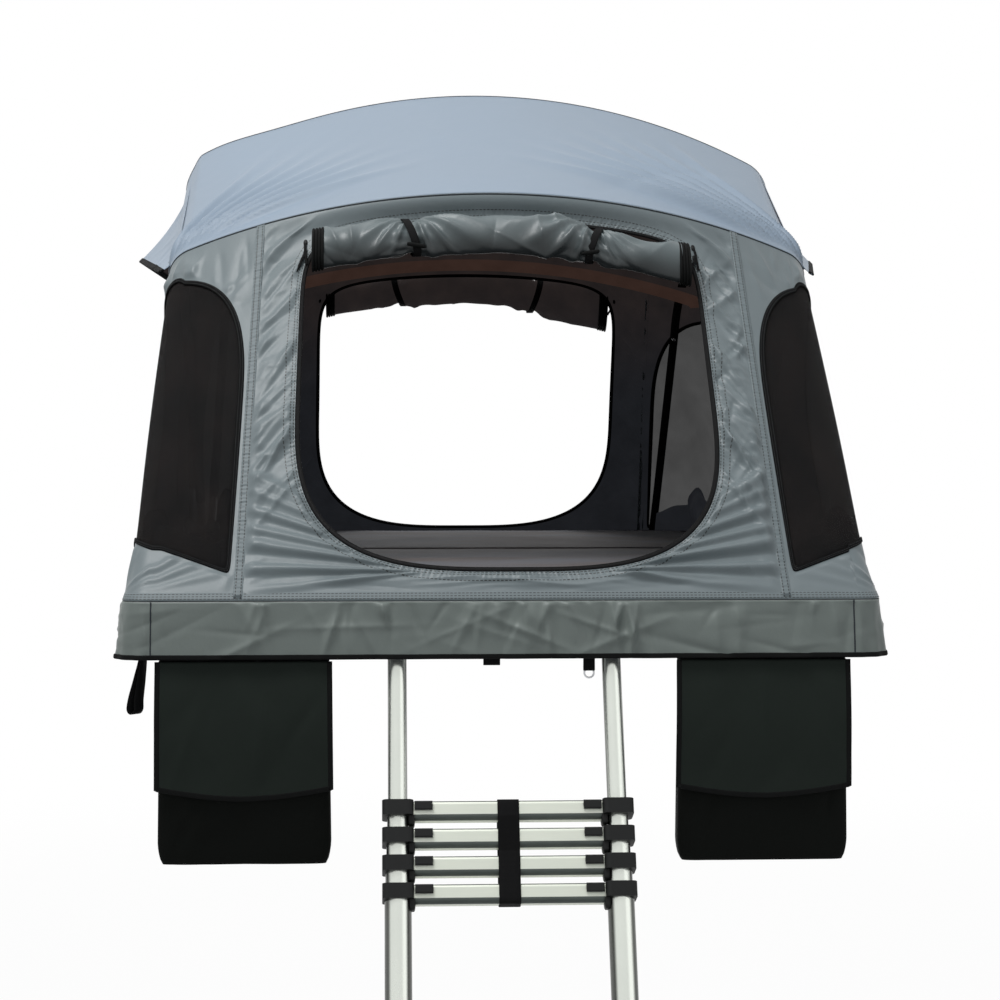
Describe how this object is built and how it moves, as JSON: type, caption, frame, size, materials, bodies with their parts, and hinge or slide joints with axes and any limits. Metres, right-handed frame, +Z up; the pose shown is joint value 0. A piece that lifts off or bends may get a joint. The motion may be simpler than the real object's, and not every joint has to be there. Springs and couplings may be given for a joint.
{
  "type": "roof top tent",
  "caption": "Fold-out roof top tent: hinged base, arched bows, sewn canopy with open end doors and corner windows, telescopic ladder and shoe bags.",
  "frame": {"origin": "centre of the pattern of T-bolts that clamp the rails to roof bars, at the rails' underside", "axes": "+X to the tent's right seen from the front, -Y out of the front doorway over the ladder, +Z up"},
  "size_m": [1.6134, 2.784, 2.037],
  "materials": {
    "alloy": "satin anodised",
    "steel": "zinc plated",
    "floor": "aluminium-faced sandwich panel with a light core",
    "foam": "foam in a dark cotton cover",
    "canopy": "matt coated poly-cotton canvas",
    "skirt": "matt coated canvas",
    "roof": "smooth coated polyester",
    "net": "fine insect net",
    "black_plastic": "moulded nylon",
    "rubber": "moulded rubber",
    "bag": "dark coated nylon",
    "webbing": "woven webbing"
  },
  "bodies": {
    "base_rear": {"rear_floor_panel": "floor", "rear_floor_frame": "alloy", "mounting_rails": "alloy", "rail_bolts": "steel", "rear_hinge_plates": "alloy", "pivot_bolts": "steel", "pivot_nuts": "steel", "rear_mattress": "foam", "rear_skirt": "skirt", "rear_wall": "canopy", "rear_corner_walls": "canopy", "rear_corner_windows": "net", "rear_door_roll": "canopy"},
    "base_front": {"front_floor_panel": "floor", "front_floor_frame": "alloy", "front_hinge_plates": "alloy", "front_mattress": "foam", "front_skirt": "skirt", "front_wall": "canopy", "front_corner_walls": "canopy", "front_corner_windows": "net", "front_door_roll": "canopy", "ladder_brackets": "alloy", "ladder_pins": "steel", "tie_straps": "webbing", "strap_ring": "steel", "shoe_bag_left": "bag", "shoe_bag_right": "bag"},
    "front_bow": {"front_bow": "alloy"},
    "ridge_bow": {"ridge_bow": "alloy", "roof_front": "roof", "roof_rear": "roof", "side_eaves": "roof"},
    "rear_bow": {"rear_bow": "alloy"},
    "ladder_1": {"ladder_tubes_1": "alloy"},
    "ladder_2": {"ladder_tubes_2": "alloy", "ladder_collars_2": "black_plastic", "ladder_rung_2": "alloy", "rung_strap": "webbing"},
    "ladder_3": {"ladder_tubes_3": "alloy", "ladder_collars_3": "black_plastic", "ladder_rung_3": "alloy"},
    "ladder_4": {"ladder_tubes_4": "alloy", "ladder_collars_4": "black_plastic", "ladder_rung_4": "alloy"},
    "ladder_5": {"ladder_tubes_5": "alloy", "ladder_collars_5": "black_plastic", "ladder_rung_5": "alloy", "ladder_feet": "rubber"},
    "bag_flap_left": {"bag_flap_left": "bag"},
    "bag_flap_right": {"bag_flap_right": "bag"},
    "latch_left_2": {"latch_left_2": "black_plastic"},
    "latch_right_2": {"latch_right_2": "black_plastic"},
    "latch_left_3": {"latch_left_3": "black_plastic"},
    "latch_right_3": {"latch_right_3": "black_plastic"},
    "latch_left_4": {"latch_left_4": "black_plastic"},
    "latch_right_4": {"latch_right_4": "black_plastic"},
    "latch_left_5": {"latch_left_5": "black_plastic"},
    "latch_right_5": {"latch_right_5": "black_plastic"}
  },
  "joints": [
    {"name": "fold", "type": "hinge", "parent": "base_rear", "child": "base_front", "pos_m": [0, -0.6, 0.159], "axis": [-1, 0, 0], "range_deg": [0, 180], "deforming": ["front_wall", "front_corner_walls", "front_corner_windows", "front_door_roll", "roof_front", "roof_rear", "side_eaves", "rear_wall", "rear_corner_walls", "rear_corner_windows", "rear_door_roll"]},
    {"name": "front_bow_turn", "type": "hinge", "parent": "base_rear", "child": "front_bow", "pos_m": [0, -0.6, 0.159], "axis": [-1, 0, 0], "range_deg": [0, 134.05]},
    {"name": "ridge_bow_turn", "type": "hinge", "parent": "base_rear", "child": "ridge_bow", "pos_m": [0, -0.6, 0.159], "axis": [-1, 0, 0], "range_deg": [0, 90.05]},
    {"name": "rear_bow_turn", "type": "hinge", "parent": "base_rear", "child": "rear_bow", "pos_m": [0, -0.6, 0.159], "axis": [-1, 0, 0], "range_deg": [0, 46.05]},
    {"name": "ladder_swing", "type": "hinge", "parent": "base_front", "child": "ladder_1", "pos_m": [0, -1.76, -0.005], "axis": [-1, 0, 0], "range_deg": [-112, 0]},
    {"name": "ladder_first_slide", "type": "slide", "parent": "ladder_1", "child": "ladder_2", "axis": [0, -0.4067, -0.9135], "range_m": [-0.225, 0]},
    {"name": "ladder_extend", "type": "slide", "parent": "ladder_2", "child": "ladder_3", "axis": [0, -0.4067, -0.9135], "range_m": [0, 0.29], "deforming": ["rung_strap"]},
    {"name": "ladder_extend_4", "type": "slide", "parent": "ladder_3", "child": "ladder_4", "axis": [0, -0.4067, -0.9135], "range_m": [0, 0.29]},
    {"name": "ladder_extend_5", "type": "slide", "parent": "ladder_4", "child": "ladder_5", "axis": [0, -0.4067, -0.9135], "range_m": [0, 0.29]},
    {"name": "latch_left_2_press", "type": "slide", "parent": "ladder_2", "child": "latch_left_2", "axis": [1, 0, 0], "range_m": [0, 0.01], "stiffness_N_per_m": 400, "springref_m": -0.003},
    {"name": "latch_right_2_press", "type": "slide", "parent": "ladder_2", "child": "latch_right_2", "axis": [-1, 0, 0], "range_m": [0, 0.01], "stiffness_N_per_m": 400, "springref_m": -0.003},
    {"name": "latch_left_3_press", "type": "slide", "parent": "ladder_3", "child": "latch_left_3", "axis": [1, 0, 0], "range_m": [0, 0.01], "stiffness_N_per_m": 400, "springref_m": -0.003},
    {"name": "latch_right_3_press", "type": "slide", "parent": "ladder_3", "child": "latch_right_3", "axis": [-1, 0, 0], "range_m": [0, 0.01], "stiffness_N_per_m": 400, "springref_m": -0.003},
    {"name": "latch_left_4_press", "type": "slide", "parent": "ladder_4", "child": "latch_left_4", "axis": [1, 0, 0], "range_m": [0, 0.01], "stiffness_N_per_m": 400, "springref_m": -0.003},
    {"name": "latch_right_4_press", "type": "slide", "parent": "ladder_4", "child": "latch_right_4", "axis": [-1, 0, 0], "range_m": [0, 0.01], "stiffness_N_per_m": 400, "springref_m": -0.003},
    {"name": "latch_left_5_press", "type": "slide", "parent": "ladder_5", "child": "latch_left_5", "axis": [1, 0, 0], "range_m": [0, 0.01], "stiffness_N_per_m": 400, "springref_m": -0.003},
    {"name": "latch_right_5_press", "type": "slide", "parent": "ladder_5", "child": "latch_right_5", "axis": [-1, 0, 0], "range_m": [0, 0.01], "stiffness_N_per_m": 400, "springref_m": -0.003},
    {"name": "bag_flap_left_lift", "type": "hinge", "parent": "base_front", "child": "bag_flap_left", "pos_m": [-0.493, -1.8103, -0.0534], "axis": [-1, 0, 0], "range_deg": [0, 85]},
    {"name": "bag_flap_right_lift", "type": "hinge", "parent": "base_front", "child": "bag_flap_right", "pos_m": [0.493, -1.8103, -0.0534], "axis": [-1, 0, 0], "range_deg": [0, 85]}
  ],
  "couplings": [
    {"joint": "front_bow_turn", "follows": "fold", "ratio": 0.74444},
    {"joint": "ridge_bow_turn", "follows": "fold", "ratio": 0.5},
    {"joint": "rear_bow_turn", "follows": "fold", "ratio": 0.25556},
    {"joint": "ladder_extend_4", "follows": "ladder_extend", "ratio": 1},
    {"joint": "ladder_extend_5", "follows": "ladder_extend", "ratio": 1}
  ]
}
